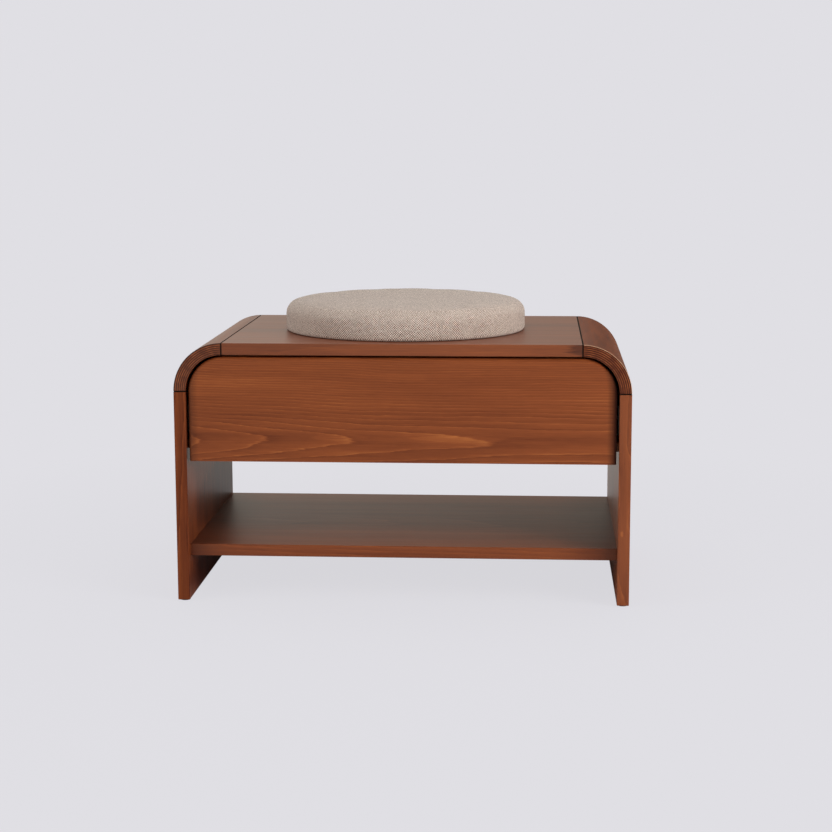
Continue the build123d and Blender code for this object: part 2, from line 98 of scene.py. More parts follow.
def stained_wood(name, along, across, pith, lean, bow=(0, 0, 0), ring=0.0050, crowd=0.0, figure=1.0,
                 grooves=(), marks=(), tone=0.5, gloss=0.36, matt=0.32):
    """Stained and lacquered softwood with growth rings, streaks and pores.

    along and across are the grain's axes on the board's face. pith is a point on the line that the rings
    go round, lean is that line's turn and bow is how it bends over a metre. ring is a ring's width, and the
    rings crowd away from the pith where the tree grew slower. grooves are (axis, level) of V-grooves, and
    marks are (centre, reach, strength) of pale or dark figure, or of painted shade. figure, tone, gloss and
    matt differ from board to board."""
    material = bare_material(name)
    tree = material.node_tree
    place = add(tree, "ShaderNodeTexCoord").outputs["Object"]

    def grain(length, width, detail, seed):
        """Noise drawn out along the grain, from its length and width in metres."""
        scale = [1 / length if axis == along else 1 / width for axis in "XYZ"]
        drawn = add(tree, "ShaderNodeMapping", {"Vector": place, "Location": [seed] * 3, "Scale": scale})
        return add(tree, "ShaderNodeTexNoise", {
            "Vector": drawn, "Scale": 1.0, "Detail": detail, "Roughness": 0.6})

    # The pores are drawn coarser than real ones, so that they show
    streaks = grain(length=0.11, width=0.0028, detail=3.0, seed=1.7)
    bands = grain(length=0.45, width=0.035, detail=2.0, seed=5.1)
    pores = grain(length=0.022, width=0.0009, detail=1.0, seed=2.3)
    swing = grain(length=0.5, width=0.03, detail=1.0, seed=9.0)

    # Growth rings wander a few millimetres along the board
    sideways = Vector([axis == across for axis in "XYZ"])
    lengthways = Vector([axis == along for axis in "XYZ"])
    square = [axis != along for axis in "XYZ"]
    wander = grain(length=0.40, width=0.10, detail=3.0, seed=3.0 + sideways.dot(pith))
    wander = add(tree, "ShaderNodeVectorMath", (wander, WANDER * sideways, -WANDER / 2 * sideways),
                 operation="MULTIPLY_ADD")
    from_pith = add(tree, "ShaderNodeMapping", {
        "Vector": place, "Location": pith, "Rotation": lean, "Scale": square}, vector_type="TEXTURE")
    from_pith = add(tree, "ShaderNodeVectorMath", (from_pith, wander), operation="ADD")
    along_squared = add(tree, "ShaderNodeVectorMath", (place, place), operation="MULTIPLY")
    along_squared = add(tree, "ShaderNodeVectorMath", (along_squared, lengthways), operation="DOT_PRODUCT")
    from_pith = add(tree, "ShaderNodeVectorMath", (along_squared, bow, from_pith), operation="MULTIPLY_ADD")
    radius = add(tree, "ShaderNodeVectorMath", (from_pith,), operation="LENGTH")
    aside = add(tree, "ShaderNodeVectorMath", (from_pith, sideways), operation="DOT_PRODUCT")
    aside = add(tree, "ShaderNodeMath", (aside, aside), operation="MULTIPLY")

    # A year goes from early wood to a ragged line of late wood
    years = 0.0
    for layer, weight in ((radius, 1 / ring), (aside, crowd), (swing, 1.2), (streaks, 0.30), (pores, 0.14)):
        years = add(tree, "ShaderNodeMath", (layer, weight, years), operation="MULTIPLY_ADD")
    season = add(tree, "ShaderNodeMath", (years,), operation="FRACT")
    shades = ((0.0, 0.36), (0.45, 0.46), (0.66, 0.58), (0.74, 0.84), (0.78, 0.20), (1.0, 0.36))
    rings = add(tree, "ShaderNodeValToRGB", (season,), stops=[
        (moment, [shade] * 3 + [1.0]) for moment, shade in shades])

    layers = ((rings, 0.70 * figure), (streaks, 0.45), (bands, 0.80), (pores, 0.25))
    tint = tone - sum(weight for layer, weight in layers) / 2
    for layer, weight in layers:
        tint = add(tree, "ShaderNodeMath", (layer, weight, tint), operation="MULTIPLY_ADD")
    rim = 1.0 + RAGGED / 2
    for centre, reach, strength in marks:
        fitted = add(tree, "ShaderNodeMapping", {"Vector": place, "Location": centre, "Scale": reach},
                     vector_type="TEXTURE")
        away = add(tree, "ShaderNodeVectorMath", (fitted,), operation="LENGTH")
        ragged = add(tree, "ShaderNodeMath", (streaks, RAGGED, away), operation="MULTIPLY_ADD")
        mark = add(tree, "ShaderNodeMapRange", (ragged, rim, rim - FADE, 0.0, strength))
        tint = add(tree, "ShaderNodeMath", (tint, mark), operation="ADD")
    tint = add(tree, "ShaderNodeMapRange", (tint, -0.25, 1.0, 0.0, 1.0))
    wood = add(tree, "ShaderNodeValToRGB", (tint,), stops=[
        (0.0, linear(STAIN_DEEP)), (0.2, linear(STAIN_DARK)),
        (0.6, linear(STAIN_MID)), (1.0, linear(STAIN_PALE))])

    # The grooves hold dark stain and no gloss
    axes = add(tree, "ShaderNodeSeparateXYZ", (place,))
    groove = 0.0
    for axis, level in grooves:
        mirrored = add(tree, "ShaderNodeMath", (axes.outputs[axis],), operation="ABSOLUTE")
        near = add(tree, "ShaderNodeMath", (mirrored, level, GROOVE), operation="COMPARE")
        groove = add(tree, "ShaderNodeMath", (near, groove), operation="MAXIMUM")
    colour = add(tree, "ShaderNodeMix", {0: groove, 6: wood, 7: linear(STAIN_GROOVE)}, data_type="RGBA")
    rough = add(tree, "ShaderNodeMath", (streaks, 0.14, matt), operation="MULTIPLY_ADD")
    rough = add(tree, "ShaderNodeMath", (rough, groove), operation="MAXIMUM")
    relief = add(tree, "ShaderNodeMath", (pores, 0.4, streaks), operation="MULTIPLY_ADD")
    relief = add(tree, "ShaderNodeBump", {"Height": relief, "Strength": 0.12, "Distance": 0.0003})
    surface = add(tree, "ShaderNodeBsdfPrincipled", {
        "Base Color": colour, "Roughness": rough, "IOR": 1.50, "Specular IOR Level": gloss,
        "Specular Tint": linear(LACQUER), "Normal": relief})
    add(tree, "ShaderNodeOutputMaterial", (surface,))
    return material


def dress(node, material):
    """Gives a CAD node its material."""
    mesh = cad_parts[node].data
    mesh.materials.clear()
    mesh.materials.append(material)


# Painted shade on the left leg's inner face: low by the foot, and where the shelf meets it
foot_painted_shade = ((-0.341, 0.02, 0.03), (0.006, 0.24, 0.045), -0.40)
shelf_painted_shade = ((-0.341, 0.07, 0.13), (0.006, 0.23, 0.060), -0.35)
knot = ((0.347, -0.215, 0.118), (0.0028, 0.006, 0.006), 0.4)
for side, name, marks, tone, gloss in (
    (-1, "left_leg", [foot_painted_shade, shelf_painted_shade], 0.20, 0.15),
    (1, "right_leg", [knot], 0.40, 0.45),
):
    dress(name, stained_wood(
        f"stained pine, {name}", "Z", "Y", pith=(0.30 * side, 0.05 * side, 0), lean=(0, -0.05 * side, 0),
        grooves=[("Z", CORNER_LOW)], marks=marks, tone=tone, gloss=gloss))

# Bent corners: quarter rounds laminated from thin veneers round a mould, then stained as the legs are.
# The veneers and their pale glue lines show on the front and back edges. The outer veneer is quiet, with
# its grain running front to back.
CORNER_X = 0.283
INNER_RADIUS = 0.058
DEPTH_HALF = 0.215
VENEER = BOARD / 6
CUT_EDGE = 0.0007
ARRIS = 0.0008
BLOTCH = 0.012
GLUE_LINE = "#A85C34"
# A painted highlight along the right corner's outer front arris
PAINTED_ARRIS_HIGHLIGHT = "#B58A6C"


def overlay(tree, share, colour):
    """Lays a colour over a wood's own, under the dark stain of its grooves."""
    surface = next(node for node in tree.nodes if node.type == "BSDF_PRINCIPLED")
    groove = surface.inputs["Base Color"].links[0].from_node
    wood = groove.inputs[6].links[0].from_socket
    laid = add(tree, "ShaderNodeMix", {0: share, 6: wood, 7: colour}, data_type="RGBA")
    tree.links.new(laid.outputs[2], groove.inputs[6])


def bent_veneer(name, side, tone, gloss, matt, arris):
    """Stained veneer outside and striped laminations on the front and back edges.

    arris is the colour laid along the outer front arris: a dark one, or a painted highlight."""
    material = stained_wood(name, "Y", "X", pith=(0.30 * side, 0, 0.30), lean=(-0.03, 0, 0), figure=0.2,
                            grooves=[("Z", CORNER_LOW), ("X", CORNER_X)], tone=tone, gloss=gloss, matt=matt)
    tree = material.node_tree
    place = add(tree, "ShaderNodeTexCoord").outputs["Object"]

    # Distance from the middle of the bend counts the veneers
    bend = add(tree, "ShaderNodeMapping", {
        "Vector": place, "Location": (side * CORNER_X, 0, CORNER_LOW), "Scale": (1, 0, 1)},
        vector_type="TEXTURE")
    radius = add(tree, "ShaderNodeVectorMath", (bend,), operation="LENGTH")
    veneers = add(tree, "ShaderNodeMapRange", (radius, INNER_RADIUS, INNER_RADIUS + VENEER, 0.0, 1.0),
                  clamp=False)
    veneers = add(tree, "ShaderNodeMath", (veneers,), operation="FRACT")
    stripe = add(tree, "ShaderNodeValToRGB", (veneers,), stops=[
        (0.0, linear(GLUE_LINE)), (0.25, linear(STAIN_DARK)), (0.5, linear(STAIN_GROOVE)),
        (0.75, linear(STAIN_DEEP)), (1.0, linear(GLUE_LINE))])
    blotch = add(tree, "ShaderNodeTexNoise", {"Vector": place, "Scale": 1 / BLOTCH, "Detail": 4.0})
    uneven = add(tree, "ShaderNodeMapRange", (blotch, 0.35, 0.65, 0.2, 1.0))
    edge = add(tree, "ShaderNodeMix", {0: uneven, 6: linear(STAIN_DEEP), 7: stripe}, data_type="RGBA")
    depth = add(tree, "ShaderNodeSeparateXYZ", (place,)).outputs["Y"]
    depth = add(tree, "ShaderNodeMath", (depth,), operation="ABSOLUTE")
    cut = add(tree, "ShaderNodeMath", (depth, DEPTH_HALF - CUT_EDGE), operation="GREATER_THAN")
    overlay(tree, cut, edge)

    # The arris colour over the outer front arris, which on the right corner is a painted highlight
    outer = add(tree, "ShaderNodeMath", (radius, INNER_RADIUS + BOARD - ARRIS), operation="GREATER_THAN")
    front = add(tree, "ShaderNodeMath", (depth, DEPTH_HALF - ARRIS), operation="GREATER_THAN")
    on_arris = add(tree, "ShaderNodeMath", (outer, front), operation="MULTIPLY")
    overlay(tree, on_arris, linear(arris))
    return material


dress("left_corner", bent_veneer(
    "bent laminated veneer, left corner", -1, tone=0.05, gloss=0.45, matt=0.34, arris=STAIN_DEEP))
dress("right_corner", bent_veneer(
    "bent laminated veneer, right corner", 1, tone=0.04, gloss=0.32, matt=0.48, arris=PAINTED_ARRIS_HIGHLIGHT))

# Top board: one glued-up panel between the bent corners with its grain along the bench.
# It is stained and lacquered with the corners, a little darker near its right joint.
pale_edge = ((0.12, -0.216, 0.407), (0.28, 0.004, 0.016), 0.24)
joint_stain = ((0.312, -0.216, 0.411), (0.058, 0.004, 0.022), -0.45)
dress("top_board", stained_wood(
    "stained pine, top board", "X", "Y", pith=(0, 0.03, 0.36), lean=(0, 0.03, 0), figure=0.4,
    grooves=[("X", CORNER_X)], marks=[pale_edge, joint_stain], tone=0.12, gloss=0.60))

# Loose tongues: strips of birch plywood glued in slots across the long joints.
# They are hidden once the bench is together.
PLY = 0.0014
BIRCH = "#C9A87E"
BIRCH_DARK = "#A98258"
BIRCH_PALE = "#D8BC95"


def birch_plywood(name, along, through):
    """Unstained birch plywood under clear lacquer: pale, with short flecks and crossed plies on its edges."""
    material = bare_material(name)
    tree = material.node_tree
    place = add(tree, "ShaderNodeTexCoord").outputs["Object"]
    tint = -0.5
    for length, width, detail in ((0.25, 0.030, 3.0), (0.018, 0.0016, 2.0)):
        scale = [1 / length if axis == along else 1 / width for axis in "XYZ"]
        drawn = add(tree, "ShaderNodeMapping", {"Vector": place, "Scale": scale})
        figure = add(tree, "ShaderNodeTexNoise", {"Vector": drawn, "Scale": 1.0, "Detail": detail})
        tint = add(tree, "ShaderNodeMath", (figure, tint), operation="ADD")
    face = add(tree, "ShaderNodeValToRGB", (tint,), stops=[
        (0.2, linear(BIRCH_DARK)), (0.6, linear(BIRCH)), (1.0, linear(BIRCH_PALE))])
    level = add(tree, "ShaderNodeSeparateXYZ", (place,)).outputs[through]
    plies = add(tree, "ShaderNodeMath", (level, 2 * PLY), operation="FLOORED_MODULO")
    crossed = add(tree, "ShaderNodeMath", (plies, PLY), operation="GREATER_THAN")
    crossed = add(tree, "ShaderNodeMath", (crossed, 0.35), operation="MULTIPLY")
    colour = add(tree, "ShaderNodeMix", {0: crossed, 6: face, 7: linear(BIRCH_DARK)}, data_type="RGBA")
    relief = add(tree, "ShaderNodeBump", {"Height": figure, "Strength": 0.1, "Distance": 0.0003})
    surface = add(tree, "ShaderNodeBsdfPrincipled", {
        "Base Color": colour, "Roughness": 0.5, "IOR": 1.5, "Normal": relief})
    add(tree, "ShaderNodeOutputMaterial", (surface,))
    return material


dress("leg_tongues", birch_plywood("birch plywood, leg tongues", along="Y", through="X"))
dress("top_tongues", birch_plywood("birch plywood, top tongues", along="Y", through="Z"))

# Shelf: one board of the same stained pine, housed in the legs and set back from their front edges.
# Painted shade darkens it towards its ends, most on the right.
SHELF_CLEAR = 0.24
SHELF_END = 0.34
TO_RIGHT = 0.012
shelf_wood = stained_wood("stained pine, shelf", "X", "Y", pith=(0, -0.02, -0.05), lean=(0, 0.03, 0),
                          figure=0.7, tone=0.36, gloss=0.40, matt=0.36)
tree = shelf_wood.node_tree
place = add(tree, "ShaderNodeTexCoord").outputs["Object"]
# Painted shade towards both ends of the shelf, the right end more
along = add(tree, "ShaderNodeSeparateXYZ", (place,)).outputs["X"]
along = add(tree, "ShaderNodeMath", (along, TO_RIGHT), operation="ADD")
along = add(tree, "ShaderNodeMath", (along,), operation="ABSOLUTE")
dark = add(tree, "ShaderNodeMapRange", (along, SHELF_CLEAR, SHELF_END, 0.0, 0.65),
           interpolation_type="SMOOTHSTEP")
overlay(tree, dark, linear(STAIN_DEEP))
dress("shelf", shelf_wood)

# Bay floor and back panel: thinner boards of the same wood that close the drawer bay.
# Both are housed in the legs, and the back panel in the bay floor too.
dress("bay_floor", stained_wood(
    "stained pine, bay floor", "X", "Y", pith=(0, 0.05, 0.15), lean=(0, 0.03, 0)))
dress("back_panel", stained_wood(
    "stained pine, back panel", "X", "Z", pith=(0, 0.10, 0.30), lean=(0, 0, -0.03)))

# Drawer front: one flat-sawn board. The pith runs behind its lower half and away from the face to the
# right, so the rings show as nested arches with their tips to the right below straight lines. Painted
# shade darkens both sides and the rounded upper corners, the right side most, and the lacquer is duller
# there.
FRONT_CORNER = 0.056
EDGE_SHADE_WIDTH = 0.015
EDGE_SHADE_RIM = 0.003
EDGE_PAINTED_SHADE = "#2A1008"
broad_tip = ((0.085, -0.2135, 0.2665), (0.080, 0.03, 0.0070), 0.22)
narrow_tip = ((-0.095, -0.2135, 0.268), (0.045, 0.03, 0.006), 0.15)
front_wood = stained_wood(
    "stained pine, drawer front", "X", "Z", pith=(0, -0.1426, 0.262), lean=(0, 0, 0.025),
    bow=(0, 0.035, 0), ring=0.0046, crowd=450.0, figure=1.3, tone=0.41, gloss=0.28,
    marks=[broad_tip, narrow_tip])
tree = front_wood.node_tree
front_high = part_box("drawer_front")[1]
corner = (front_high.x - FRONT_CORNER, 0, front_high.z - FRONT_CORNER)
# Painted shade along the sides and round the upper corners, half as strong at the left as at the right
place = add(tree, "ShaderNodeTexCoord").outputs["Object"]
mirrored = add(tree, "ShaderNodeVectorMath", (place,), operation="ABSOLUTE")
beyond = add(tree, "ShaderNodeVectorMath", (mirrored, corner), operation="SUBTRACT")
beyond = add(tree, "ShaderNodeVectorMath", (beyond, (0, 0, 0)), operation="MAXIMUM")
sideways = add(tree, "ShaderNodeVectorMath", (beyond, (1, 0, 0.6)), operation="MULTIPLY")
reach = add(tree, "ShaderNodeVectorMath", (sideways,), operation="LENGTH")
dark = add(tree, "ShaderNodeMapRange", (reach, FRONT_CORNER - EDGE_SHADE_WIDTH, FRONT_CORNER - EDGE_SHADE_RIM, 0.0, 1.0))
along = add(tree, "ShaderNodeSeparateXYZ", (place,)).outputs["X"]
shade_rightwards = add(tree, "ShaderNodeMapRange", (along, -front_high.x, front_high.x, 0.5, 1.0))
dark = add(tree, "ShaderNodeMath", (dark, shade_rightwards), operation="MULTIPLY")
overlay(tree, dark, linear(EDGE_PAINTED_SHADE))
surface = next(node for node in tree.nodes if node.type == "BSDF_PRINCIPLED")
rough = surface.inputs["Roughness"].links[0].from_socket
dull = add(tree, "ShaderNodeMath", (rough, dark), operation="MAXIMUM")
tree.links.new(dull.outputs[0], surface.inputs["Roughness"])
dress("drawer_front", front_wood)

# Drawer box: clear-lacquered birch plywood that shows its crossed plies on the cut edges.
# The front and back are let into rebates in the sides, and the bottom is held in grooves.
for name, along, through in (
    ("drawer_left_side", "Y", "X"),
    ("drawer_right_side", "Y", "X"),
    ("drawer_box_front", "X", "Y"),
    ("drawer_back", "X", "Y"),
    ("drawer_bottom", "X", "Z"),
):
    dress(name, birch_plywood(f"birch plywood, {name}", along, through))

# Foot glides: moulded discs of dark polypropylene with a fine grain, tacked under the ends of the legs.
# The bench stands on the four of them.
GLIDE_GRIT = 0.0006
GLIDE_DARK = "#241912"
GLIDE_PALE = "#33241B"
glide_plastic = bare_material("moulded polypropylene")
tree = glide_plastic.node_tree
place = add(tree, "ShaderNodeTexCoord").outputs["Object"]
grit = add(tree, "ShaderNodeTexNoise", {"Vector": place, "Scale": 1 / GLIDE_GRIT, "Detail": 1.0})
colour = add(tree, "ShaderNodeValToRGB", (grit,), stops=[
    (0.3, linear(GLIDE_DARK)), (0.7, linear(GLIDE_PALE))])
relief = add(tree, "ShaderNodeBump", {"Height": grit, "Strength": 0.2, "Distance": 0.0001})
surface = add(tree, "ShaderNodeBsdfPrincipled", {
    "Base Color": colour, "Roughness": 0.55, "IOR": 1.49, "Normal": relief})
add(tree, "ShaderNodeOutputMaterial", (surface,))
dress("foot_glides", glide_plastic)

# Runners: full-extension ball-bearing rails rolled from steel strip, with faint marks drawn along them.
# The rails are black electro-coated, and the thin ball cages between them are bright zinc plated.
DRAW_WIDTH = 0.0008
DRAW_LENGTH = 0.06
STEEL_CLOUD = 0.02


def rolled_steel(name, dark, pale, metal, low, high):
    """Rolled strip: draw marks along the rail, coarse enough to show, and roughness from low to high."""
    material = bare_material(name)
    tree = material.node_tree
    place = add(tree, "ShaderNodeTexCoord").outputs["Object"]
    drawn = add(tree, "ShaderNodeMapping", {
        "Vector": place, "Scale": (1 / DRAW_WIDTH, 1 / DRAW_LENGTH, 1 / DRAW_WIDTH)})
    marks = add(tree, "ShaderNodeTexNoise", {"Vector": drawn, "Scale": 1.0, "Detail": 3.0})
    cloud = add(tree, "ShaderNodeTexNoise", {"Vector": place, "Scale": 1 / STEEL_CLOUD, "Detail": 2.0})
    mixed = add(tree, "ShaderNodeMath", (marks, cloud), operation="MULTIPLY")
    colour = add(tree, "ShaderNodeValToRGB", (mixed,), stops=[(0.1, linear(dark)), (0.45, linear(pale))])
    rough = add(tree, "ShaderNodeMapRange", (marks, 0.2, 0.8, low, high))
    relief = add(tree, "ShaderNodeBump", {"Height": marks, "Strength": 0.08, "Distance": 0.0002})
    surface = add(tree, "ShaderNodeBsdfPrincipled", {
        "Base Color": colour, "Metallic": metal, "Roughness": rough, "Normal": relief})
    add(tree, "ShaderNodeOutputMaterial", (surface,))
    return material


coated_steel = rolled_steel("black electro-coated steel", "#151516", "#232325", metal=0.0, low=0.34, high=0.5)
zinc_steel = rolled_steel("zinc plated steel", "#8F9496", "#B9BEC0", metal=1.0, low=0.28, high=0.42)
for side in ("left", "right"):
    for rail in ("outer", "middle", "inner"):
        dress(f"{side}_{rail}_rail", coated_steel)
    for cage in ("outer", "inner"):
        dress(f"{side}_{cage}_cage", zinc_steel)

# Balls: hardened chrome steel, ground and polished, three to a row and two rows to a cage.
# They sit in the cage's windows and roll in the channels of the rails.
BALL_RADIUS = 0.0013
ROW_BALLS = 3
ball_steel = rolled_steel("polished chrome steel", "#B4B6B8", "#CFD1D3", metal=1.0, low=0.08, high=0.16)


def node_tree(name, inputs):
    """A Geometry Nodes tree with a geometry in and out and the named inputs."""
    tree = bpy.data.node_groups.new(name, "GeometryNodeTree")
    tree.interface.new_socket("Geometry", in_out="INPUT", socket_type="NodeSocketGeometry")
    for label, kind in inputs:
        tree.interface.new_socket(label, in_out="INPUT", socket_type=kind)
    tree.interface.new_socket("Geometry", in_out="OUTPUT", socket_type="NodeSocketGeometry")
    return tree


def settle(piece):
    """Applies a piece's modifiers to its mesh."""
    bpy.context.view_layer.update()
    done = bpy.data.meshes.new_from_object(piece.evaluated_get(bpy.context.evaluated_depsgraph_get()))
    piece.modifiers.clear()
    piece.data = done


def grown(name, points, turns, tree, values):
    """The plain mesh object that a Geometry Nodes tree makes on points, each with its own turn."""
    mesh = bpy.data.meshes.new(name)
    mesh.from_pydata(points, [], [])
    turn = mesh.attributes.new("turn", "FLOAT_VECTOR", "POINT")
    for item, angles in zip(turn.data, turns):
        item.vector = angles
    piece = bpy.data.objects.new(name, mesh)
    bpy.context.collection.objects.link(piece)
    modifier = piece.modifiers.new(name, "NODES")
    modifier.node_group = tree
    for socket in tree.interface.items_tree:
        if socket.in_out == "INPUT" and socket.name in values:
            modifier[socket.identifier] = values[socket.name]
    settle(piece)
    return piece


ball_tree = node_tree("runner balls", [("Ball Radius", "NodeSocketFloat"), ("Steel", "NodeSocketMaterial")])
entry = add(ball_tree, "NodeGroupInput")
ball = add(ball_tree, "GeometryNodeMeshIcoSphere", {
    "Radius": entry.outputs["Ball Radius"], "Subdivisions": 3})
smooth = add(ball_tree, "GeometryNodeSetShadeSmooth", {"Geometry": ball})
rows = add(ball_tree, "GeometryNodeInstanceOnPoints", {
    "Points": entry.outputs["Geometry"], "Instance": smooth})
real = add(ball_tree, "GeometryNodeRealizeInstances", {"Geometry": rows})
plated = add(ball_tree, "GeometryNodeSetMaterial", {"Geometry": real, "Material": entry.outputs["Steel"]})
add(ball_tree, "NodeGroupOutput", {"Geometry": plated})
for side in ("left", "right"):
    for cage in ("outer", "inner"):
        low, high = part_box(f"{side}_{cage}_balls")
        step = (high.y - low.y - 2 * BALL_RADIUS) / (ROW_BALLS - 1)
        centres = [((low.x + high.x) / 2, low.y + BALL_RADIUS + i * step, z)
                   for i in range(ROW_BALLS) for z in (low.z + BALL_RADIUS, high.z - BALL_RADIUS)]
        balls = grown(f"{side}_{cage}_ball_row", centres, [(0, 0, 0)] * len(centres), ball_tree,
                      {"Ball Radius": BALL_RADIUS, "Steel": ball_steel})
        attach(balls, f"{side}_{cage}_bearing")
        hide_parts(f"{side}_{cage}_balls")

# Screws: zinc plated pan heads with a cross recess. Four hold the outer rails to the legs and four the
# inner rails to the drawer box, and two go through the box into the drawer front.
RAIL_SHEET = 0.0012
SCREW_SIDES = 24
SCREW_SPIN = 0.4
screw_zinc = rolled_steel("zinc plated screw steel", "#8C8E8C", "#B5B7B4", metal=1.0, low=0.3, high=0.45)


def lathe(name, profile, sides):
    """A piece turned about Z from a profile of (radius, height) points."""
    form = bmesh.new()
    rings = []
    for radius, height in profile:
        corners = [2 * pi * i / sides for i in range(sides)] if radius else [0]
        rings.append([form.verts.new((radius * cos(a), radius * sin(a), height)) for a in corners])
    for below, above in zip(rings, rings[1:]):
        for i in range(sides):
            corners = ((below, i), (below, i + 1), (above, i + 1), (above, i))
            around = [ring[j % len(ring)] for ring, j in corners]
            form.faces.new(list(dict.fromkeys(around)))
    bmesh.ops.recalc_face_normals(form, faces=form.faces)
    mesh = bpy.data.meshes.new(name)
    form.to_mesh(mesh)
    form.free()
    return bpy.data.objects.new(name, mesh)


def pan_screw(name, shank, length, head, height):
    """A screw standing on its point, with a cross recess pressed into the head."""
    point = [(0, -length), (0.35 * shank, -length), (shank, 2 * shank - length), (shank, 0)]
    pan = [(head, 0), (head, 0.35 * height), (0.86 * head, 0.82 * height), (0.6 * head, height),
           (0.3 * head, height), (0, height)]
    piece = lathe(name, point + pan, SCREW_SIDES)
    for vertex in piece.data.vertices:
        on_cross = min(abs(vertex.co.x), abs(vertex.co.y)) < 0.05 * head
        if on_cross and vertex.co.z > 0.9 * height:
            vertex.co.z -= 0.6 * height
    return piece


screw_tree = node_tree("driven screws", [("Screw", "NodeSocketObject"), ("Steel", "NodeSocketMaterial")])
entry = add(screw_tree, "NodeGroupInput")
one = add(screw_tree, "GeometryNodeObjectInfo", {"Object": entry.outputs["Screw"]})
turn = add(screw_tree, "GeometryNodeInputNamedAttribute", {"Name": "turn"}, data_type="FLOAT_VECTOR")
aimed = add(screw_tree, "FunctionNodeEulerToRotation", {"Euler": turn})
driven = add(screw_tree, "GeometryNodeInstanceOnPoints", {
    "Points": entry.outputs["Geometry"], "Instance": one.outputs["Geometry"], "Rotation": aimed})
real = add(screw_tree, "GeometryNodeRealizeInstances", {"Geometry": driven})
plated = add(screw_tree, "GeometryNodeSetMaterial", {"Geometry": real, "Material": entry.outputs["Steel"]})
add(screw_tree, "NodeGroupOutput", {"Geometry": plated})

rail_screw = pan_screw("rail_screw", shank=0.00175, length=0.011, head=0.0032, height=0.0016)
front_screw = pan_screw("front_screw", shank=0.0020, length=0.025, head=0.0040, height=0.0022)
left_leg_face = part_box("left_outer_rail")[0].x + RAIL_SHEET
left_box_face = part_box("left_inner_rail")[1].x - RAIL_SHEET
for node, body, screw, face, facing in (
    ("leg_rail_screws", "carcass", rail_screw, left_leg_face, 1),
    ("drawer_rail_screws", "drawer", rail_screw, left_box_face, -1),
    ("front_screws", "drawer", front_screw, None, 0),
):
    low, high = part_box(node)
    mid = (low + high) / 2
    head = (high.z - low.z) / 2
    if facing:
        spots = [(x, y, mid.z) for x in (face, -face) for y in (low.y + head, high.y - head)]
        aims = [Matrix.Rotation(facing * (pi / 2 if x < 0 else -pi / 2), 3, "Y") for x, y, z in spots]
    else:
        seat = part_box("drawer_box_front")[1].y
        spots = [(x, seat, mid.z) for x in (low.x + head, high.x - head)]
        aims = [Matrix.Rotation(-pi / 2, 3, "X")] * len(spots)
    turns = [(aim @ Matrix.Rotation(SCREW_SPIN * i, 3, "Z")).to_euler() for i, aim in enumerate(aims)]
    screws = grown(f"{node}_heads", spots, turns, screw_tree, {"Screw": screw, "Steel": screw_zinc})
    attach(screws, body)
    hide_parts(node)

# Cushion: a loose round seat pad, a woven wool-blend cover over a cotton lining base, sewn round a foam
# block. The filling crowns the top, rounds the shoulder and swells the band, which draws in a little where
# the upper seam runs.
cushion_low, cushion_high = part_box("cushion_cover")
FULLER = 0.001
RADIUS = (cushion_high.x - cushion_low.x) / 2
HEIGHT = cushion_high.z - cushion_low.z + FULLER
SEAT = Vector(((cushion_low.x + cushion_high.x) / 2, (cushion_low.y + cushion_high.y) / 2, cushion_low.z))
CROWN = 0.004
SHOULDER = HEIGHT - CROWN
UPPER_TURN = 0.020
LOWER_TURN = 0.005
SEAM_HEIGHT = 0.72
SEAM_REACH = 0.005
SEAM_DEPTH = 0.0007
BAND_ZONE = 0.9
SWELL = 0.0012
PINNED = 0.002
BASE_GAP = 0.0003
START = 0.99
SEGMENTS = 128
RINGS = 24
BAND_STEPS = 6
TURN_STEPS = 5
SWELL_FRAMES = 20

quarter = [i * pi / (2 * TURN_STEPS) for i in range(TURN_STEPS + 1)]
rim = RADIUS - LOWER_TURN
brow = RADIUS - UPPER_TURN
band = SHOULDER - UPPER_TURN - LOWER_TURN
inward = [1 - i / RINGS for i in range(1, RINGS + 1)]
profile = [(rim * i / RINGS, 0) for i in range(RINGS)]
profile += [(rim + LOWER_TURN * sin(a), LOWER_TURN - LOWER_TURN * cos(a)) for a in quarter]
profile += [(RADIUS, LOWER_TURN + band * i / BAND_STEPS) for i in range(1, BAND_STEPS)]
profile += [(brow + UPPER_TURN * cos(a), SHOULDER - UPPER_TURN + UPPER_TURN * sin(a)) for a in quarter]
profile += [(brow * share, SHOULDER + CROWN * (1 - share ** 2)) for share in inward]
cushion = lathe("cushion", [(START * radius, START * height) for radius, height in profile], SEGMENTS)
cushion.data.transform(Matrix.Translation(SEAT))
bpy.context.collection.objects.link(cushion)
# Air pressure fills the sewn cover, with the base pinned where it lies on the board
flat = cushion.vertex_groups.new(name="base")
before = [vertex.co.copy() for vertex in cushion.data.vertices]
for vertex in cushion.data.vertices:
    if vertex.co.z < SEAT.z + PINNED:
        flat.add([vertex.index], 1.0, "REPLACE")
cloth = cushion.modifiers.new("cloth", "CLOTH")
cloth.settings.quality = 6
cloth.settings.mass = 0.3
cloth.settings.tension_stiffness = 25
cloth.settings.compression_stiffness = 25
cloth.settings.bending_stiffness = 2.0
cloth.settings.use_pressure = True
cloth.settings.uniform_pressure_force = 2.0
cloth.settings.effector_weights.gravity = 0
cloth.settings.vertex_group_mass = "base"
cloth.collision_settings.use_collision = False
for step in range(1, SWELL_FRAMES + 1):
    bpy.context.scene.frame_set(step)
settle(cushion)
bpy.context.scene.frame_set(1)
for vertex, start in zip(cushion.data.vertices, before):
    moved = vertex.co - start
    if moved.length > SWELL:
        vertex.co = start + moved * (SWELL / moved.length)
relax = cushion.modifiers.new("relax", "SMOOTH")
relax.factor = 0.5
relax.iterations = 4
subdivide = cushion.modifiers.new("subdivide", "SUBSURF")
subdivide.levels = 1
subdivide.render_levels = 1
settle(cushion)

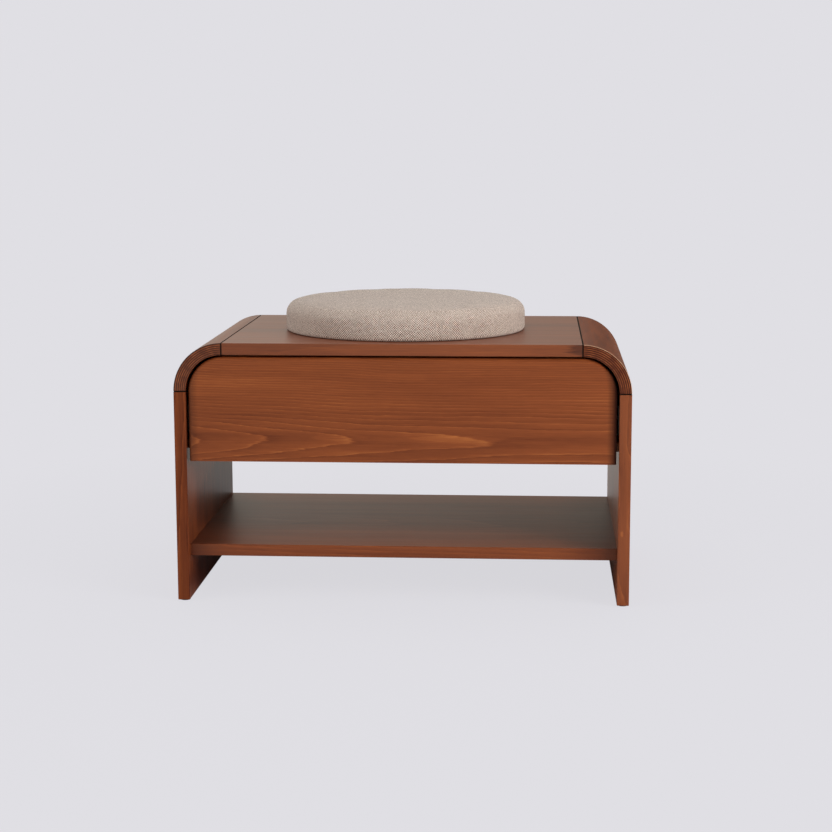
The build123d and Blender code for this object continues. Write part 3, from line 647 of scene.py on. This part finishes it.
# Trimmed to the size of its pattern pieces, drawn in along the upper seam and flat where it lies
reach = max((vertex.co - SEAT).xy.length for vertex in cushion.data.vertices)
top = max(vertex.co.z for vertex in cushion.data.vertices) - SEAT.z
for vertex in cushion.data.vertices:
    aside = (vertex.co - SEAT).xy * (RADIUS / reach)
    rise = (vertex.co.z - SEAT.z) * (HEIGHT / top)
    from_seam = abs(rise - SEAM_HEIGHT * HEIGHT)
    if aside.length > BAND_ZONE * RADIUS and from_seam < SEAM_REACH:
        aside *= 1 - SEAM_DEPTH / RADIUS * (1 - from_seam / SEAM_REACH)
    vertex.co = SEAT + Vector((aside.x, aside.y, max(rise, BASE_GAP)))

# The cloth runs straight across the panel and on over its front edge, and round the band in whole threads.
# A thread is one pale and one dark float, and its fibres are drawn coarser than real ones, so that they show
THREAD = 0.0038
SLUB = 0.007
SLUB_SHIFT = 0.0018
FIBRE = 0.0015
CLOTH_CLOUD = 0.03
YARN_DARK = "#67554C"
YARN_MID = "#B7A293"
YARN_PALE = "#E8D9CB"
LINING_DARK = "#5A5048"
LINING_MID = "#6B6058"
LINING_PALE = "#7A6F66"
girth = round(2 * pi * RADIUS / THREAD) * THREAD / (2 * pi)
layer = cushion.data.uv_layers.new(name="cloth")
for face in cushion.data.polygons:
    upright = abs(face.normal.z) < 0.8
    middle = atan2(face.center.y - SEAT.y, face.center.x - SEAT.x)
    for corner in face.loop_indices:
        point = cushion.data.vertices[cushion.data.loops[corner].vertex_index].co - SEAT
        angle = atan2(point.y, point.x)
        angle += 2 * pi * round((middle - angle) / (2 * pi))
        down = point.z - SHOULDER - point.xy.length
        layer.data[corner].uv = (girth * (angle + pi / 2), down) if upright else point.xy
    face.material_index = 1 if face.normal.z < -0.9 else 0
    face.use_smooth = True


def woven_cloth(name, dark, mid, pale, relief_strength):
    """Basket weave of two yarns: pale and dark floats on the diagonal, each a little different."""
    material = bare_material(name)
    tree = material.node_tree
    flat = add(tree, "ShaderNodeUVMap", uv_map="cloth")
    place = add(tree, "ShaderNodeTexCoord").outputs["Object"]
    slub = add(tree, "ShaderNodeTexNoise", {"Vector": place, "Scale": 1 / SLUB, "Detail": 2.0})
    drift = add(tree, "ShaderNodeVectorMath", (slub.outputs["Color"], [SLUB_SHIFT] * 3, flat),
                operation="MULTIPLY_ADD")
    cell = add(tree, "ShaderNodeVectorMath", (drift, [THREAD / 2] * 3), operation="SNAP")
    chance = add(tree, "ShaderNodeTexWhiteNoise", {"Vector": cell}, noise_dimensions="2D")
    waves = add(tree, "ShaderNodeVectorMath", {0: drift, "Scale": 2 * pi / THREAD}, operation="SCALE")
    waves = add(tree, "ShaderNodeVectorMath", (waves,), operation="SINE")
    waves = add(tree, "ShaderNodeSeparateXYZ", (waves,))
    floats = add(tree, "ShaderNodeMath", (waves.outputs["X"], waves.outputs["Y"]), operation="MULTIPLY")
    floats = add(tree, "ShaderNodeMapRange", (floats, -1.0, 1.0, 0.0, 1.0))
    fibre = add(tree, "ShaderNodeTexNoise", {"Vector": place, "Scale": 1 / FIBRE, "Detail": 2.0})
    cloud = add(tree, "ShaderNodeTexNoise", {"Vector": place, "Scale": 1 / CLOTH_CLOUD, "Detail": 2.0})
    layers = ((floats, 1.50), (chance, 0.30), (fibre, 0.50), (cloud, 0.15))
    shade = 0.5 - sum(weight for layer, weight in layers) / 2
    for layer, weight in layers:
        shade = add(tree, "ShaderNodeMath", (layer, weight, shade), operation="MULTIPLY_ADD")
    colour = add(tree, "ShaderNodeValToRGB", (shade,), stops=[
        (0.1, linear(dark)), (0.45, linear(mid)), (0.9, linear(pale))])
    relief = add(tree, "ShaderNodeMath", (fibre, 0.5, floats), operation="MULTIPLY_ADD")
    relief = add(tree, "ShaderNodeBump", {"Height": relief, "Strength": relief_strength, "Distance": 0.0008})
    surface = add(tree, "ShaderNodeBsdfPrincipled", {
        "Base Color": colour, "Roughness": 0.92, "Specular IOR Level": 0.2, "Sheen Weight": 0.15,
        "Sheen Roughness": 0.5, "Normal": relief})
    add(tree, "ShaderNodeOutputMaterial", (surface,))
    return material


cushion.data.materials.append(woven_cloth(
    "woven wool blend", YARN_DARK, YARN_MID, YARN_PALE, relief_strength=0.5))
cushion.data.materials.append(woven_cloth(
    "cotton lining", LINING_DARK, LINING_MID, LINING_PALE, relief_strength=0.2))
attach(cushion, "cushion")
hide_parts("cushion_cover", "cushion_base", "cushion_foam")

# Camera: the photograph's viewpoint, about 3 m in front of the bench at chest height.
# It looks slightly down and a little to the left.
VIEWPOINT = (0.2078, -3.0204, 0.7544)
YAW = 0.06558
PITCH = 0.15897
ROLL = -0.00276
FOCAL_PIXELS = 1817.42
PICTURE_PIXELS = 832
SENSOR = 36
camera_data = bpy.data.cameras.new("camera")
camera_data.lens = SENSOR * FOCAL_PIXELS / PICTURE_PIXELS
camera_data.sensor_width = SENSOR
camera = bpy.data.objects.new("camera", camera_data)
bpy.context.collection.objects.link(camera)
ahead = Vector((-sin(YAW) * cos(PITCH), cos(YAW) * cos(PITCH), -sin(PITCH)))
right = Vector((cos(YAW), sin(YAW), 0))
up = right.cross(ahead)
camera_right = cos(ROLL) * right + sin(ROLL) * up
camera_up = -sin(ROLL) * right + cos(ROLL) * up
turned = Matrix((camera_right, camera_up, -ahead)).transposed().to_4x4()
camera.matrix_world = Matrix.Translation(VIEWPOINT) @ turned
bpy.context.scene.camera = camera

# Studio: a seamless pale floor and backdrop in a room whose warmer walls fall into shade to the right.
# A large softbox stands at each side, the right one stronger, and a weaker one hangs overhead. The side
# ones don't show in the lacquer, where their glare would hide the wood from behind.
BACKDROP = "#E0DFE4"
WALLS = "#ECE8DC"
SHADED_WALL = "#8A8274"
ROOM = "#F5F4F5"
ROOM_LIGHT = 0.34
FLOOR_HALF = 40
LAMP_AIM = Vector((0, 0, 0.3))
world = bpy.data.worlds.new("studio")
bpy.context.scene.world = world
world.use_nodes = True
tree = world.node_tree
tree.nodes.clear()
rays = add(tree, "ShaderNodeLightPath").outputs
room = add(tree, "ShaderNodeBackground", {"Color": linear(ROOM), "Strength": ROOM_LIGHT})
aim = add(tree, "ShaderNodeTexCoord").outputs["Generated"]
to_right = add(tree, "ShaderNodeSeparateXYZ", (aim,)).outputs["X"]
shade = add(tree, "ShaderNodeMapRange", (to_right, -0.15, 0.20, 0.0, 1.0))
walls = add(tree, "ShaderNodeMix", {0: shade, 6: linear(WALLS), 7: linear(SHADED_WALL)}, data_type="RGBA")
backdrop = add(tree, "ShaderNodeMix", {0: rays["Is Glossy Ray"], 6: linear(BACKDROP), 7: walls},
               data_type="RGBA")
backdrop = add(tree, "ShaderNodeBackground", {"Color": backdrop, "Strength": 1.0})
seen = add(tree, "ShaderNodeMath", (rays["Is Camera Ray"], rays["Is Glossy Ray"]), operation="MAXIMUM")
seen = add(tree, "ShaderNodeMath", (seen, rays["Is Transmission Ray"]), operation="MAXIMUM")
both = add(tree, "ShaderNodeMixShader", (seen, room, backdrop))
add(tree, "ShaderNodeOutputWorld", (both,))

# The floor glows as the backdrop does, and less near the bench, where it keeps the shadow
floor_mesh = bpy.data.meshes.new("floor")
corners = [(FLOOR_HALF * x, FLOOR_HALF * y, 0) for x, y in ((-1, -1), (1, -1), (1, 1), (-1, 1))]
floor_mesh.from_pydata(corners, [], [(0, 1, 2, 3)])
floor = bpy.data.objects.new("floor", floor_mesh)
bpy.context.collection.objects.link(floor)
paper = bare_material("seamless paper")
tree = paper.node_tree
rays = add(tree, "ShaderNodeLightPath").outputs
lit = add(tree, "ShaderNodeBsdfDiffuse", {"Color": linear(BACKDROP)})
tone = add(tree, "ShaderNodeMix", {0: rays["Is Glossy Ray"], 6: linear(BACKDROP), 7: linear(WALLS)},
           data_type="RGBA")
glow = add(tree, "ShaderNodeEmission", {"Color": tone, "Strength": 1.0})
place = add(tree, "ShaderNodeTexCoord").outputs["Object"]
away = add(tree, "ShaderNodeVectorMath", (place,), operation="LENGTH")
even = add(tree, "ShaderNodeMapRange", (away, 0.35, 1.3, 0.90, 1.0))
even = add(tree, "ShaderNodeMath", (rays["Is Camera Ray"], even), operation="MULTIPLY")
mirrored = add(tree, "ShaderNodeMapRange", (away, 0.45, 1.4, 0.0, 1.0))
bounced = add(tree, "ShaderNodeMath", (rays["Is Glossy Ray"], rays["Is Transmission Ray"]),
              operation="MAXIMUM")
mirrored = add(tree, "ShaderNodeMath", (bounced, mirrored), operation="MULTIPLY")
share = add(tree, "ShaderNodeMath", (even, mirrored), operation="MAXIMUM")
both = add(tree, "ShaderNodeMixShader", (share, lit, glow))
add(tree, "ShaderNodeOutputMaterial", (both,))
floor_mesh.materials.append(paper)

for name, place, size, power, glints in (
    ("overhead softbox", (0.0, 0.2, 2.6), 2.2, 20.0, True),
    ("right softbox", (2.6, -1.6, 1.2), 1.6, 70.0, False),
    ("left softbox", (-2.6, -1.6, 1.2), 1.6, 32.0, False),
):
    lamp_data = bpy.data.lights.new(name, "AREA")
    lamp_data.shape = "SQUARE"
    lamp_data.size = size
    lamp_data.energy = power
    lamp = bpy.data.objects.new(name, lamp_data)
    bpy.context.collection.objects.link(lamp)
    lamp.visible_glossy = glints
    lamp.location = place
    lamp.rotation_euler = (LAMP_AIM - Vector(place)).to_track_quat("-Z", "Y").to_euler()

bpy.context.scene.view_settings.view_transform = "Standard"
